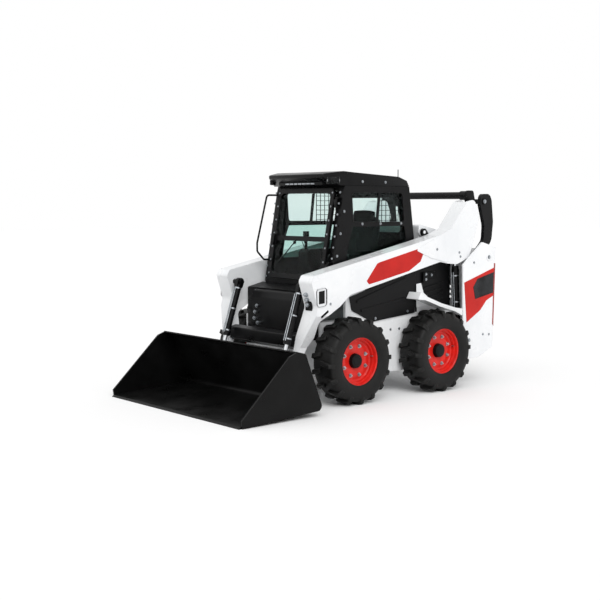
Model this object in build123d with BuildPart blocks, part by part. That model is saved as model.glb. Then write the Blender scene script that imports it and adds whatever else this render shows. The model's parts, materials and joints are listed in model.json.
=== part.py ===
from build123d import *
import os
from math import atan2, degrees, hypot

# Compact wheeled loader with a vertical-path lift arm, a full cab and a dirt bucket.
# Millimetres. +Z is up, the bucket points along -Y and the machine's left side is +X.
# Side-view places are given as (distance behind the front axle, height above the ground).

os.makedirs("parts", exist_ok=True)

# Overall reach and stance
reach_ahead = 1460
reach_behind = 1910
front_axle_y = (reach_ahead - reach_behind) / 2
wheelbase = 1075
pin_gap = 0.3

# Tyres and wheels
tyre_radius = 385
tyre_width = 265
tyre_inner_x = 565
tyre_mid_x = tyre_inner_x + tyre_width / 2
rim_seat_radius = 209
rim_flange_radius = 224
rim_width = 222
rim_flange = 8
rim_sides = 36
dish_depth = 78
disc_thickness = 12
hub_radius = 85
hub_cap_radius = 66
hub_back = 60
stud_circle_radius = 137
stud_count = 8
axle_tube_radius = 62
tread_sides = 32
tread_radius = 358
shoulder_radius = 328
lug_count = 16
lug_length = 44

# Main frame tub
tub_half_width = 545
tub_wall = 100
tub_floor = 12
tub_low = 205
tub_high = 725
tub_front = -225
tub_rear = 1660
deck_half_width = tub_half_width
deck_wall = 30
deck_high = 985
deck_rear = 1440

# Engine block
engine_rear = 1500
engine_length = 420
engine_width = 560
engine_height = 680

# Tie-down ears
tie_down_x = 300
tie_down_radius = 18
tie_down_plate = 16

# Rear towers
tower_inner_x = tub_half_width
tower_outer_x = 722
tower_plate = 16

# Tailgate hinge
gate_hinge = (-530, 1896)
gate_hinge_levels = (560, 1150)

# Cab
cab_half_width = 475
cab_wall = 40
cab_low = 1030
roof_seam = 1930
wire = 5
cab_pivot = (1036, 1400)

# Lift arm
arm_inner_x = 520
arm_outer_x = 692
arm_plate = 18
leg_inner_x = 480
leg_outer_x = 562
ear = 12

# Linkage pins, in the side view
link_foot = (1545, 1090)
arm_pivot = (1770, 1790)
bucket_pivot = (-575, 245)
tilt_lever_pin = (-610, 330)
tilt_anchor = (-380, 1040)
lift_foot = (1490, 500)
lift_eye = (1440, 1280)
control_foot = (1111, 1498.6)
control_eye = (1340, 1220)
pin_radius = 24

# Bucket
bucket_half_width = 985
bucket_skin = 12
bucket_side = 16


def at(place):
    """Side-view place as a point of the YZ plane."""
    back, up = place
    return (front_axle_y + back, up)


def side_face(places, radii, x):
    """Closed side-view outline with its own corner radius at each place."""
    with BuildSketch(Plane.YZ.offset(x)) as face:
        with BuildLine():
            FilletPolyline(*[at(place) for place in places], radius=radii, close=True)
        make_face()
    return face.sketch


def slab(places, radii, low_x, high_x, mode=Mode.ADD):
    """Plate or block with a side-view outline, between two distances from the middle."""
    extrude(side_face(places, radii, low_x), amount=high_x - low_x, mode=mode)


def cross_bar(place, radius, low_x, high_x, mode=Mode.ADD):
    """Round bar along X at a side-view place."""
    y, z = at(place)
    with BuildSketch(Plane.YZ.offset(low_x)) as disc:
        with Locations((y, z)):
            Circle(radius)
    extrude(disc.sketch, amount=high_x - low_x, mode=mode)


def rod(start, end, radius, x, mode=Mode.ADD):
    """Round bar in the side view from one place to another, at a distance from the middle."""
    y, z = at(start)
    run_y = end[0] - start[0]
    run_z = end[1] - start[1]
    run = Plane(origin=(x, y, z), x_dir=(1, 0, 0), z_dir=(0, run_y, run_z))
    with BuildSketch(run) as disc:
        Circle(radius)
    extrude(disc.sketch, amount=hypot(run_y, run_z), mode=mode)


def pin_link(start, end, radius, low_x, high_x, mode=Mode.ADD):
    """Flat link with round ends about two side-view places."""
    run_y = end[0] - start[0]
    run_z = end[1] - start[1]
    middle = at(((start[0] + end[0]) / 2, (start[1] + end[1]) / 2))
    with BuildSketch(Plane.YZ.offset(low_x)) as face:
        with Locations(Location((middle[0], middle[1], 0), (0, 0, degrees(atan2(run_z, run_y))))):
            SlotCenterToCenter(hypot(run_y, run_z), 2 * radius)
    extrude(face.sketch, amount=high_x - low_x, mode=mode)


def along(start, end, distance):
    """Place at a distance from start towards end."""
    length = hypot(end[0] - start[0], end[1] - start[1])
    share = distance / length
    return (start[0] + (end[0] - start[0]) * share, start[1] + (end[1] - start[1]) * share)


def write(builder, name):
    builder.part.label = name
    export_step(builder.part, f"parts/{name}.step")


# Main frame: a tub with thick chain cases, and thin deck walls above it
with BuildPart() as main_frame:
    slab([(tub_front, tub_low + 30), (tub_front, tub_high), (tub_rear, tub_high), (tub_rear, tub_low + 60),
          (tub_rear - 250, tub_low), (tub_front + 120, tub_low)], [10, 10, 10, 30, 60, 60],
         -tub_half_width, tub_half_width)
    slab([(tub_front + 30, tub_low + 60), (tub_front + 30, tub_high + 1), (tub_rear - 30, tub_high + 1),
          (tub_rear - 30, tub_low + 80), (tub_rear - 250, tub_low + tub_floor),
          (tub_front + 120, tub_low + tub_floor)], [10, 0, 0, 20, 40, 40],
         -(tub_half_width - tub_wall), tub_half_width - tub_wall, Mode.SUBTRACT)
    for side in (-1, 1):
        with Locations((side * (deck_half_width - deck_wall / 2),
                        front_axle_y + (deck_rear + 60) / 2, (tub_high + deck_high) / 2)):
            Box(deck_wall, deck_rear - 60, deck_high - tub_high)
    # Tie-down ears at both ends, with their holes upright
    for side in (-1, 1):
        for back, level in ((tub_front - 30, tub_low + 55), (tub_rear + 30, tub_low + 95)):
            with Locations((side * tie_down_x, front_axle_y + back, level)):
                Box(90, 64, tie_down_plate)
            lean = -8 if back < 0 else 8
            with Locations((side * tie_down_x, front_axle_y + back + lean, level)):
                Cylinder(tie_down_radius, 3 * tie_down_plate, mode=Mode.SUBTRACT)
write(main_frame, "main_frame")

# Axle tubes that carry the four hubs
with BuildPart() as axle_tubes:
    for side in (-1, 1):
        for back in (0, wheelbase):
            cross_bar((back, tyre_radius), axle_tube_radius, side * tub_half_width,
                      side * (tyre_mid_x - hub_back - pin_gap))
write(axle_tubes, "axle_tubes")

# Rear towers: outer panel, inner plate and rear closing plate
tower_outline = [(1430, 1180), (1705, 1396), (1909, 1342), (1880, 357), (1670, 266), (1490, 266), (1440, 650)]
with BuildPart() as towers:
    slab(tower_outline, [10, 25, 12, 20, 20, 20, 30], tower_outer_x - tower_plate, tower_outer_x)
    slab([(1450, 1150), (1700, 1340), (1870, 1300), (1850, 400), (1670, 330), (1500, 330)],
         [10, 20, 10, 10, 10, 10], tower_inner_x, tower_inner_x + tower_plate)
    slab([(1868, 1232), (1906, 1240), (1880, 357), (1850, 344)], [2, 2, 10, 2],
         tower_inner_x, tower_outer_x - tower_plate + 1)
    cross_bar(link_foot, pin_radius, tower_outer_x - tower_plate - 70, tower_outer_x - 2)
    cross_bar(lift_foot, pin_radius, tower_inner_x + 1, tower_outer_x - 2)
    mirror(about=Plane.YZ)
    # Pins of the tailgate hinge, on the right tower
    for level in gate_hinge_levels:
        with Locations((gate_hinge[0], front_axle_y + gate_hinge[1], level)):
            Cylinder(7, 2 * 46)
        for end in (-1, 1):
            with Locations((gate_hinge[0] - 26, front_axle_y + gate_hinge[1] - 6, level + end * 43)):
                Box(20, 32, 6)
            with Locations((gate_hinge[0] - 5, front_axle_y + gate_hinge[1] + 2, level + end * 43)):
                Box(26, 16, 6)
write(towers, "towers")

# Fender lips over the rear tyres
with BuildPart() as fenders:
    slab([(820, 880), (860, 950), (930, 905), (1140, 828), (1350, 772), (1437.5, 760), (1437.5, 690), (1340, 737),
          (1130, 795), (920, 870)], [5, 15, 10, 10, 20, 0, 0, 20, 10, 10], 562, 715)
    mirror(about=Plane.YZ)
    for side in (-1, 1):
        slab([(1335, 600), (1335, 900), (1500, 900), (1500, 600)], [0, 0, 0, 0], side * 550, side * 652,
             Mode.SUBTRACT)
write(fenders, "fenders")

# Black ridged side panels between the lift arm and the frame
with BuildPart() as side_panels:
    slab([(100, 930), (950, 1160), (940, 740), (380, 690), (130, 810)], [10, 10, 10, 20, 20],
         deck_half_width + pin_gap, deck_half_width + 13)
    # Pressed ridges
    for ridge in ([(185, 900), (810, 1080), (810, 1050), (185, 875)], [(240, 812), (810, 895), (810, 865), (240, 790)]):
        slab(ridge, [0, 0, 0, 0], deck_half_width + 12, deck_half_width + 21)
    mirror(about=Plane.YZ)
write(side_panels, "side_panels")

# Lower front cover between the arm legs
with BuildPart() as front_cover:
    slab([(-100, 1010), (-265, 965), (-285, 900), (-240, 560), (-225.2, 560), (-225.2, 900), (-205, 940),
          (-100, 975)], [2, 30, 30, 5, 0, 0, 10, 2], -380, 380)
write(front_cover, "front_cover")

# Engine as one plain block
with BuildPart() as engine:
    floor_rise = (80 - tub_floor) / (250 - 30)
    engine_base = tub_low + tub_floor + floor_rise * (engine_rear - (tub_rear - 250)) + pin_gap
    with Locations((0, front_axle_y + engine_rear - engine_length / 2, engine_base)):
        Box(engine_width, engine_length, engine_height, align=(Align.CENTER, Align.CENTER, Align.MIN))
write(engine, "engine")

# Engine hood behind the cab, an open shell
hood_outline = [(1085, 985), (1085, 1575), (1453, 1492), (1845, 1400), (1845, 985)]
with BuildPart() as hood:
    slab(hood_outline, [0, 25, 60, 40, 0], -460, 460)
    slab([(1110, 980), (1110, 1545), (1453, 1466), (1820, 1378), (1820, 980)], [0, 15, 40, 30, 0], -435, 435,
         Mode.SUBTRACT)
    for side in (-1, 1):
        slab([(1085, deck_high), (1085, deck_high + 12), (deck_rear, deck_high + 12), (deck_rear, deck_high)],
             [0, 0, 0, 0], side * 435, side * deck_half_width)
        # Ears that carry the cab's tilt hinge
        slab([(1090, 1350), (1084, 1450), (1040, 1422), (1018, 1412), (1018, 1388)], [0, 0, 10, 15, 15],
             side * 312.5, side * 324)
        cross_bar(cab_pivot, 10, side * 296, side * 324)
        # Stubs that carry the control links
        cross_bar(control_foot, 40, side * 459, side * 482)
        cross_bar(control_foot, 16, side * 470, side * 514)
    # Cooling slots across the top
    for slot in range(6):
        with Locations((0, front_axle_y + 1500 + 48 * slot, 1440)):
            Box(560, 20, 160, mode=Mode.SUBTRACT)
write(hood, "hood")

# Tailgate between the towers
with BuildPart() as tailgate:
    slab([(1856, 1330), (1885, 1310), (1872, 420), (1840, 420)], [4, 10, 10, 4], -535, 535)
    for level in gate_hinge_levels:
        with Locations((gate_hinge[0], front_axle_y + gate_hinge[1] - 14, level)):
            Box(18, 28, 60)
        with Locations((gate_hinge[0], front_axle_y + gate_hinge[1], level)):
            Cylinder(12, 60)
            Cylinder(7 + pin_gap, 100, mode=Mode.SUBTRACT)
    # Grille slots
    for slot in range(8):
        with Locations((0, front_axle_y + 1865, 820 + 52 * slot)):
            Box(620, 80, 26, mode=Mode.SUBTRACT)
write(tailgate, "tailgate")

# Tail lamps on the back of the towers
with BuildPart() as tail_lamps:
    slab([(1902.5, 1120), (1908.5, 1120), (1908.5, 1220), (1905.5, 1220)], [0, 0, 0, 0], 600, 690)
    mirror(about=Plane.YZ)
write(tail_lamps, "tail_lamps")



def polygon_disc(radius, sides, low_x, high_x, mode=Mode.ADD):
    """Many-sided disc about the X axis, between two distances along it."""
    with BuildSketch(Plane.YZ.offset(low_x)) as face:
        RegularPolygon(radius, sides)
    extrude(face.sketch, amount=high_x - low_x, mode=mode)


# Tyre: carcass with sloping shoulders, and two staggered rows of lugs that wrap over them
shoulder = 20
with BuildPart() as tyre:
    half = tyre_width / 2
    polygon_disc(tread_radius, tread_sides, -half + shoulder, half - shoulder)
    for side in (-1, 1):
        with BuildSketch(Plane.YZ.offset(side * (half - shoulder))):
            RegularPolygon(tread_radius, tread_sides)
        with BuildSketch(Plane.YZ.offset(side * (half - 4))):
            RegularPolygon(shoulder_radius, tread_sides)
        loft(ruled=True)
    with BuildSketch(Plane.XZ) as lug_face:
        Polygon((6, tread_radius - 12), (6, tyre_radius), (half - 22, tyre_radius), (half, tyre_radius - 38),
                (half, shoulder_radius - 18), (half - 16, shoulder_radius - 30), align=None)
    lug = extrude(lug_face.sketch, amount=lug_length / 2, both=True, mode=Mode.PRIVATE)
    for turn in range(lug_count):
        pitch = 360 / lug_count
        add(Rot(pitch * turn, 0, 0) * lug)
        add(Rot(pitch * (turn + 0.5), 0, 0) * mirror(lug, about=Plane.YZ, mode=Mode.PRIVATE))
    polygon_disc(rim_seat_radius + 1, rim_sides, -half, half, Mode.SUBTRACT)
    for side in (-1, 1):
        polygon_disc(rim_flange_radius + 2, rim_sides, side * (rim_width / 2 - rim_flange - 1), side * (half + 1),
                     Mode.SUBTRACT)

# Wheel: rim barrel with flanges, a dish that steps in to the disc, studs and hub cap
with BuildPart() as wheel:
    half = rim_width / 2
    disc_x = half - dish_depth
    polygon_disc(rim_seat_radius, rim_sides, -half, half)
    for side in (-1, 1):
        polygon_disc(rim_flange_radius, rim_sides, side * (half - rim_flange), side * half)
    polygon_disc(rim_seat_radius - 9, rim_sides, half - 42, half, Mode.SUBTRACT)
    polygon_disc(rim_seat_radius - 24, rim_sides, disc_x, half - 42, Mode.SUBTRACT)
    polygon_disc(rim_seat_radius - 9, rim_sides, -half, disc_x - disc_thickness, Mode.SUBTRACT)
    polygon_disc(hub_radius, rim_sides, -hub_back, disc_x - disc_thickness)
    polygon_disc(hub_cap_radius, rim_sides, disc_x, disc_x + 38)
    with BuildSketch(Plane.YZ.offset(disc_x)) as studs:
        with PolarLocations(stud_circle_radius, stud_count):
            RegularPolygon(14, 6)
    extrude(studs.sketch, amount=16)

for name, side, back in (("front_left", 1, 0), ("front_right", -1, 0),
                         ("rear_left", 1, wheelbase), ("rear_right", -1, wheelbase)):
    hub_place = (side * tyre_mid_x, front_axle_y + back, tyre_radius)
    turn = 0 if side > 0 else 180
    for kind, source in (("tyre", tyre), ("wheel", wheel)):
        with BuildPart() as copy:
            with Locations(Location(hub_place, (0, 0, turn))):
                add(source.part)
        write(copy, f"{kind}_{name}")

# Rear lift links, curved round the back of the arm's lobe
link_outline = [(1545 - 50, 1075), (1560, 1045), (1770, 1270), (1885, 1410), (1905, 1590), (1880, 1800), (1850, 1865),
                (1720, 1865), (1710, 1760), (1775, 1560), (1765, 1410), (1640, 1290), (1500, 1130)]
with BuildPart() as rear_links:
    slab(link_outline, [30, 30, 80, 120, 200, 40, 60, 50, 40, 150, 90, 60, 20], 650, 688)
    cross_bar(link_foot, pin_radius + pin_gap, 640, 700, Mode.SUBTRACT)
    cross_bar(arm_pivot, pin_radius + pin_gap, 640, 700, Mode.SUBTRACT)
    mirror(about=Plane.YZ)
write(rear_links, "rear_links")

# Lift arms: box beam, leg down to the bucket and a forked rear lobe
arm_outline = [(-440, 1150), (-90, 1220), (850, 1410), (1120, 1470), (1290, 1530), (1510, 1790), (1620, 1810),
               (1690, 1640), (1600, 1370), (1545, 1250), (1380, 1190), (1250, 1200), (1140, 1220), (590, 1100),
               (-10, 970), (-140, 870), (-360, 750), (-360, 600), (-430, 480), (-540, 195), (-620, 200),
               (-620, 265), (-560, 300), (-500, 470), (-462, 630), (-422, 780), (-400, 880), (-470, 1100)]
arm_radii = [30, 200, 200, 100, 60, 60, 50, 60, 40, 30, 30, 30, 100, 100, 100, 60, 60, 60, 60, 30, 35, 25, 20, 40, 60,
             60, 60, 40]
with BuildPart() as lift_arm_left:
    slab(arm_outline, arm_radii, leg_inner_x, arm_outer_x)
    # Seen from the front, the leg steps inward below the knee
    with BuildSketch(Plane.XZ.offset(-front_axle_y - 2500)) as front_view:
        with BuildLine():
            Polyline((arm_inner_x, 1900), (arm_inner_x, 860), (leg_inner_x, 620), (leg_inner_x, 150),
                     (leg_outer_x, 150), (leg_outer_x, 520), (arm_outer_x, 800), (arm_outer_x, 1900), close=True)
        make_face()
    extrude(front_view.sketch, amount=4000, mode=Mode.INTERSECT)
    # Open space between the two lobe plates
    slab([(1080, 1100), (1080, 1430), (1280, 1495), (1500, 1760), (1560, 1900), (1900, 1900), (1900, 1100)],
         [0, 40, 40, 20, 0, 0, 0], arm_inner_x + arm_plate, arm_outer_x - arm_plate, Mode.SUBTRACT)
    cross_bar(bucket_pivot, pin_radius + pin_gap, leg_inner_x - 10, leg_outer_x + 10, Mode.SUBTRACT)
    # Raised facet over the lobe's joint
    slab([(800, 1340), (1180, 1490), (1240, 1210), (1010, 1260)], [15, 15, 15, 15], arm_outer_x - 1, arm_outer_x + 6)
write(lift_arm_left, "lift_arm_left")
with BuildPart() as lift_arm_right:
    add(mirror(lift_arm_left.part, about=Plane.YZ, mode=Mode.PRIVATE))
write(lift_arm_right, "lift_arm_right")

# Cross tube at the arm pivots, with the pivot ears and pins
with BuildPart() as torque_tube:
    cross_bar((1745, 1850), 36, -(arm_inner_x - 22), arm_inner_x - 22)
    for side in (-1, 1):
        slab([(1700, 1900), (1800, 1900), (1830, 1790), (1800, 1740), (1740, 1740), (1690, 1800)],
             [30, 30, 30, 30, 30, 30], side * (arm_inner_x - 22), side * (arm_inner_x - 1))
        cross_bar(arm_pivot, pin_radius, side * (arm_inner_x - 10), side * 688)
write(torque_tube, "torque_tube")

# Lower cross member between the arm legs
with BuildPart() as arm_cross_member:
    slab([(-470, 620), (-400, 640), (-340, 600), (-400, 480), (-470, 520)], [10, 10, 10, 10, 10],
         -(leg_inner_x - 0.2), leg_inner_x - 0.2)
    for side in (-1, 1):
        cross_bar(tilt_anchor, pin_radius, side * 405, side * (arm_inner_x - 0.2))
write(arm_cross_member, "arm_cross_member")

# Control links beside the hood, hung on a stub bolted to it
with BuildPart() as control_links:
    pin_link(control_foot, control_eye, 34, 486, 512)
    cross_bar(control_foot, 16 + pin_gap, 480, 520, Mode.SUBTRACT)
    cross_bar(control_eye, 16, 480, 520, Mode.SUBTRACT)
    mirror(about=Plane.YZ)
write(control_links, "control_links")

# Lift cylinders: barrel on the tower, rod to the lobe
lift_x = 606
lift_length = hypot(lift_eye[0] - lift_foot[0], lift_eye[1] - lift_foot[1])
with BuildPart() as lift_barrels:
    pin_link(lift_foot, along(lift_foot, lift_eye, 30), 38, lift_x - 28, lift_x + 28)
    rod(along(lift_foot, lift_eye, 30), along(lift_foot, lift_eye, lift_length - 110), 34, lift_x)
    rod(along(lift_foot, lift_eye, 70), along(lift_foot, lift_eye, lift_length - 100), 21 + pin_gap, lift_x,
        Mode.SUBTRACT)
    cross_bar(lift_foot, pin_radius + pin_gap, lift_x - 40, lift_x + 40, Mode.SUBTRACT)
    mirror(about=Plane.YZ)
write(lift_barrels, "lift_barrels")

with BuildPart() as lift_rods:
    rod(along(lift_foot, lift_eye, 80), along(lift_foot, lift_eye, lift_length - 30), 21, lift_x)
    cross_bar(lift_eye, 40, lift_x - 22, lift_x + 22)
    cross_bar(lift_eye, 22, lift_x - 30, lift_x + 30, Mode.SUBTRACT)
    mirror(about=Plane.YZ)
write(lift_rods, "lift_rods")

# Tilt cylinders in front of the legs
tilt_x = 446
tilt_length = hypot(tilt_anchor[0] - tilt_lever_pin[0], tilt_anchor[1] - tilt_lever_pin[1])
with BuildPart() as tilt_barrels:
    pin_link(tilt_anchor, along(tilt_anchor, tilt_lever_pin, 30), 36, tilt_x - 22, tilt_x + 22)
    rod(along(tilt_anchor, tilt_lever_pin, 30), along(tilt_anchor, tilt_lever_pin, 520), 30, tilt_x)
    rod(along(tilt_anchor, tilt_lever_pin, 60), along(tilt_anchor, tilt_lever_pin, 530), 17 + pin_gap, tilt_x,
        Mode.SUBTRACT)
    cross_bar(tilt_anchor, pin_radius + pin_gap, tilt_x - 40, tilt_x + 40, Mode.SUBTRACT)
    mirror(about=Plane.YZ)
write(tilt_barrels, "tilt_barrels")

with BuildPart() as tilt_rods:
    rod(along(tilt_anchor, tilt_lever_pin, 110), along(tilt_anchor, tilt_lever_pin, tilt_length - 25), 17, tilt_x)
    cross_bar(tilt_lever_pin, 32, tilt_x - 18, tilt_x + 18)
    cross_bar(tilt_lever_pin, 18, tilt_x - 30, tilt_x + 30, Mode.SUBTRACT)
    mirror(about=Plane.YZ)
write(tilt_rods, "tilt_rods")

# Bucket coupler: plate on the bucket's back with ears for the arm and tilt pins
heel = (-586, 53)
back_high = (-780, 541)
back_low = along(heel, back_high, 47)
back_run = hypot(back_high[0] - back_low[0], back_high[1] - back_low[1])
back_dir = ((back_high[0] - back_low[0]) / back_run, (back_high[1] - back_low[1]) / back_run)
back_out = (back_dir[1], -back_dir[0])


def behind(share, depth):
    """Place behind the bucket's back plate, by its share of the height and its distance off the plate."""
    return (back_low[0] + back_dir[0] * back_run * share + back_out[0] * depth,
            back_low[1] + back_dir[1] * back_run * share + back_out[1] * depth)


with BuildPart() as bucket_coupler:
    slab([behind(0.12, pin_gap), behind(0.9, pin_gap), behind(0.9, 14), behind(0.12, 14)], [0, 0, 0, 0], -585, 585)
    for ear_low in (tilt_x - 32, leg_inner_x - 2 - ear, leg_outer_x + 2):
        slab([behind(0.14, 10), behind(0.72, 10), (-610, 372), (-560, 330), (-530, 262), (-540, 205), (-585, 190)],
             [0, 20, 30, 30, 30, 30, 20], ear_low, ear_low + ear)
    cross_bar(bucket_pivot, pin_radius, leg_inner_x - 2 - ear, leg_outer_x + 2 + ear)
    mirror(about=Plane.YZ)
write(bucket_coupler, "bucket_coupler")

# Bucket: bent skin with side plates
bucket_outer = [(-1395, 3.9), heel, back_high, (-872, 566)]
with BuildPart() as bucket:
    with BuildSketch(Plane.YZ.offset(-bucket_half_width)) as skin:
        with BuildLine():
            shell_line = FilletPolyline(*[at(place) for place in bucket_outer], radius=[45, 30])
            offset(amount=bucket_skin, side=Side.LEFT)
        make_face()
    extrude(skin.sketch, amount=2 * bucket_half_width)
    for side in (-1, 1):
        slab([(-1432, 2), heel, back_high, (-868, 562), (-950, 532), (-1442, 62)],
             [0, 45, 30, 0, 30, 0], side * bucket_half_width, side * (bucket_half_width - bucket_side))
write(bucket, "bucket")

with BuildPart() as cutting_edge:
    slab([(-1460, 0), (-1395.9, 3.9), (-1395.9, 20), (-1440, 17)], [0, 0, 0, 0],
         -(bucket_half_width - bucket_side - 0.2), bucket_half_width - bucket_side - 0.2)
write(cutting_edge, "cutting_edge")

# Cab shell: pillars, sides and back wall, open below and in front
cab_outline = [(-55, cab_low), (95, 1870), (112, roof_seam), (935, roof_seam), (1010, 1410), (930, cab_low)]
with BuildPart() as cab_shell:
    slab(cab_outline, [10, 40, 0, 0, 20, 20], -cab_half_width, cab_half_width)
    slab([(-120, cab_low - 10), (-120, cab_low + 60), (-3, 1085), (110, 1700), (155, 1885), (890, 1885),
          (962, 1410), (885, cab_low - 10)], [0, 0, 0, 0, 20, 20, 20, 0],
         -(cab_half_width - cab_wall), cab_half_width - cab_wall, Mode.SUBTRACT)
    # Front doorway, between the pillars
    with BuildSketch(Plane.XZ.offset(-front_axle_y + 200)) as doorway:
        with Locations((0, (1085 + 1892) / 2)):
            RectangleRounded(2 * 402, 1892 - 1085, 40)
    extrude(doorway.sketch, amount=-500, mode=Mode.SUBTRACT)
    # Side windows
    slab([(215, 1603), (196, 1868), (838, 1868), (868, 1600)], [25, 30, 30, 25],
         -cab_half_width - 1, cab_half_width + 1, Mode.SUBTRACT)
    slab([(130, 1250), (165, 1430), (215, 1560), (872, 1560), (900, 1430), (880, 1250)], [20, 10, 20, 20, 10, 20],
         -cab_half_width - 1, cab_half_width + 1, Mode.SUBTRACT)
    # Ears of the tilt hinge
    for side in (-1, 1):
        slab([(980, 1350), (975, 1440), (1000, 1440), (1054, 1412), (1054, 1388), (990, 1350)],
             [0, 0, 10, 18, 18, 0], side * 300, side * 312)
        cross_bar(cab_pivot, 10 + pin_gap, side * 290, side * 330, Mode.SUBTRACT)
        # Divider of the sliding side window
        slab([(540, 1870), (568, 1870), (536, 1600), (508, 1600)], [0, 0, 0, 0], side * 459, side * 471)
    # Rear window
    with BuildSketch(Plane.XZ.offset(-front_axle_y - 700)) as rear_opening:
        with Locations((0, 1660)):
            RectangleRounded(700, 330, 40)
    extrude(rear_opening.sketch, amount=-500, mode=Mode.SUBTRACT)
    # Grab loop on the right front pillar
    with BuildLine():
        route = [at(place) for place in ((105, 1850), (-60, 1850), (-180, 1400), (-180, 1320), (-100, 1240), (0, 1240))]
        loop_line = FilletPolyline(*[(-432, y, z) for y, z in route], radius=35)
    with BuildSketch(Plane(loop_line @ 0, z_dir=loop_line % 0)) as loop_round:
        Circle(9)
    sweep(loop_round.sketch, path=loop_line)
write(cab_shell, "cab_shell")

# Roof with its visor
with BuildPart() as cab_roof:
    slab([(15, roof_seam + 0.2), (15, 2005), (60, 2030), (800, 2018), (930, 1975), (940, roof_seam + 0.2)],
         [10, 25, 40, 60, 30, 10], -cab_half_width, cab_half_width)
    slab([(-100, 1992), (-94, 2010), (80, 2028), (80, 1985), (0, 1985)], [0, 8, 0, 0, 0],
         -cab_half_width, cab_half_width)
    # Lamp pods in the corners, above the sweep of the door
    for side in (-1, 1):
        slab([(-93, 2000), (20, 2015), (20, 1932), (-84, 1950)], [0, 0, 0, 0], side * 335, side * cab_half_width)
write(cab_roof, "cab_roof")

# Glazing
with BuildPart() as side_windows:
    slab([(215, 1603), (196, 1868), (838, 1868), (868, 1600)], [25, 30, 30, 25], 452, 458)
    mirror(about=Plane.YZ)
write(side_windows, "side_windows")

# Wire guards behind the rear half of the side windows
with BuildPart() as window_guards:
    for column in range(6):
        start = 560 + 54 * column
        slab([(start, 1596), (start, 1876), (start + wire, 1876), (start + wire, 1596)], [0, 0, 0, 0], 428, 428 + wire)
    for row in range(6):
        level = 1612 + 46 * row
        slab([(556, level), (556, level + wire), (836, level + wire), (836, level)], [0, 0, 0, 0], 428, 428 + wire)
    slab([(556, 1590), (556, 1602), (836, 1602), (836, 1590)], [0, 0, 0, 0], 424, 434.8)
    slab([(556, 1870), (556, 1882), (836, 1882), (836, 1870)], [0, 0, 0, 0], 424, 434.8)
    mirror(about=Plane.YZ)
write(window_guards, "window_guards")

with BuildPart() as lower_side_panels:
    slab([(130, 1250), (165, 1430), (215, 1560), (872, 1560), (900, 1430), (880, 1250)], [20, 10, 20, 20, 10, 20],
         448, 462)
    mirror(about=Plane.YZ)
write(lower_side_panels, "lower_side_panels")

with BuildPart() as rear_window:
    slab([(976, 1480), (920, 1840), (926, 1840), (982, 1480)], [0, 0, 0, 0], -360, 360)
    with BuildSketch(Plane.XZ.offset(-front_axle_y - 700)) as rear_pane:
        with Locations((0, 1660)):
            RectangleRounded(699.6, 329.6, 39.8)
    extrude(rear_pane.sketch, amount=-500, mode=Mode.INTERSECT)
write(rear_window, "rear_window")

# Cab floor, seat and consoles
with BuildPart() as cab_floor:
    slab([(330, 1040), (330, 1056), (880, 1056), (880, 1040)], [0, 0, 0, 0], -434.8, 434.8)
    with Locations((0, front_axle_y + 620, 1056 + 50)):
        Box(420, 420, 100)
write(cab_floor, "cab_floor")

with BuildPart() as seat:
    slab([(400, 1156.3), (395, 1240), (420, 1262), (700, 1245), (790, 1700), (860, 1700), (800, 1156.3)],
         [20, 20, 30, 30, 40, 40, 30], -235, 235)
write(seat, "seat")

with BuildPart() as consoles:
    slab([(330, 1056.2), (330, 1300), (360, 1330), (700, 1330), (700, 1056.2)], [0, 20, 20, 20, 0], 290, 430)
    with Locations((350, front_axle_y + 360, 1330)):
        Cylinder(14, 120, align=(Align.CENTER, Align.CENTER, Align.MIN))
    with Locations((350, front_axle_y + 360, 1470)):
        Box(44, 40, 64)
    mirror(about=Plane.YZ)
write(consoles, "consoles")

# Lamps on the front of the visor's pods
with BuildPart() as work_lamps:
    slab([(-90.3, 1983), (-95, 1983), (-89.5, 1957), (-85.6, 1957)], [0, 0, 0, 0], 350, 462)
    mirror(about=Plane.YZ)
write(work_lamps, "work_lamps")

with BuildPart() as antenna:
    with Locations((400, front_axle_y + 860, 1999.6)):
        Cylinder(4, 90, align=(Align.CENTER, Align.CENTER, Align.MIN))
write(antenna, "antenna")

# Door in the plane of the front pillars, hung on leaning hinges at its left edge
door_low = (-64, 1072)
door_high = (88, 1905)
door_thickness = 28
door_half_width = 398
door_border = 46
hinge_x = 424
hinge_axis_low = (door_low[0] - door_thickness / 2, door_low[1])
hinge_axis_high = (door_high[0] - door_thickness / 2, door_high[1])
hinge_pin_radius = 7


lean_y = door_high[0] - door_low[0]
lean_z = door_high[1] - door_low[1]
leaf_y, leaf_z = at(((door_low[0] + door_high[0]) / 2, (door_low[1] + door_high[1]) / 2))
door_leaf = Plane(origin=(0, leaf_y, leaf_z), x_dir=(1, 0, 0), z_dir=(0, -lean_z, lean_y))


def door_slab(front, rear, side_gap, end_gap, corner):
    """Rounded pane in the door's leaning plane, between two depths ahead of the door's rear face."""
    with BuildSketch(door_leaf.offset(rear)) as pane:
        RectangleRounded(2 * (door_half_width - side_gap), hypot(lean_y, lean_z) - 2 * end_gap, corner)
    return extrude(pane.sketch, amount=front - rear, mode=Mode.PRIVATE)


def hinge_bar(share, length, radius, mode=Mode.ADD):
    """Round bar on the door's hinge axis, centred at a share of the door's height."""
    start = (hinge_axis_low[0] + (hinge_axis_high[0] - hinge_axis_low[0]) * share,
             hinge_axis_low[1] + (hinge_axis_high[1] - hinge_axis_low[1]) * share)
    low = along(start, hinge_axis_high, -length / 2)
    high = along(start, hinge_axis_high, length / 2)
    rod(low, high, radius, hinge_x, mode)


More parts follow.
